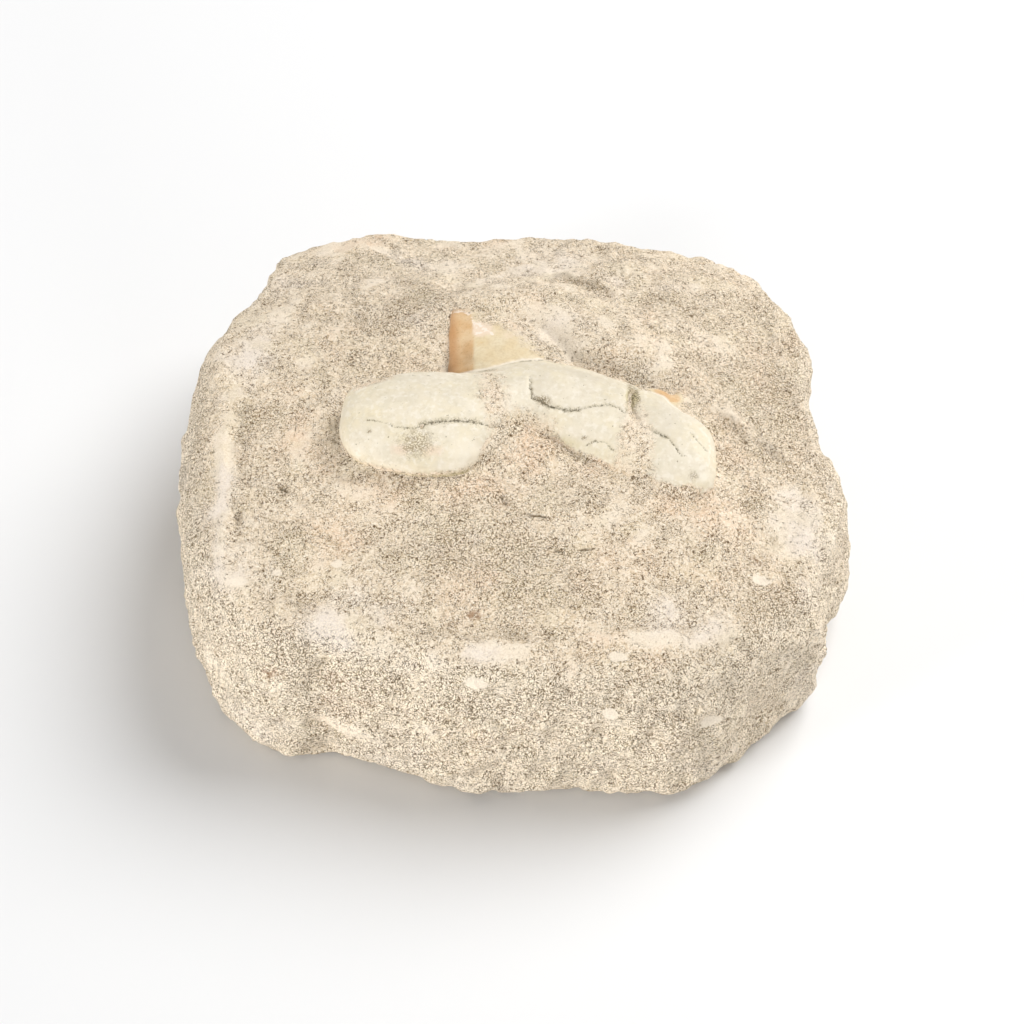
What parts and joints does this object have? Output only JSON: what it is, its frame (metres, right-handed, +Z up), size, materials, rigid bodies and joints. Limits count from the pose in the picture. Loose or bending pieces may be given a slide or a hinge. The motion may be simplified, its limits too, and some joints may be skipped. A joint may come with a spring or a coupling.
{
  "type": "fossil shark tooth",
  "caption": "Fossil shark tooth with a cracked cream root and amber blade, half buried in a loaf-shaped block of sandy matrix that rests on a flat underside",
  "frame": {"origin": "centre of the flat underside's level, under the middle of the whole object's box", "axes": "+Z up from the surface it rests on; +X along the block's longer side, and roughly along the tooth's root; +Y away from the front, towards the tooth's tip"},
  "size_m": [0.0794, 0.0742, 0.0319],
  "materials": {
    "sandy_matrix": "matte",
    "fossil_tooth": "satin"
  },
  "bodies": {
    "root": {"matrix_block": "sandy_matrix", "shark_tooth": "fossil_tooth"}
  },
  "joints": []
}
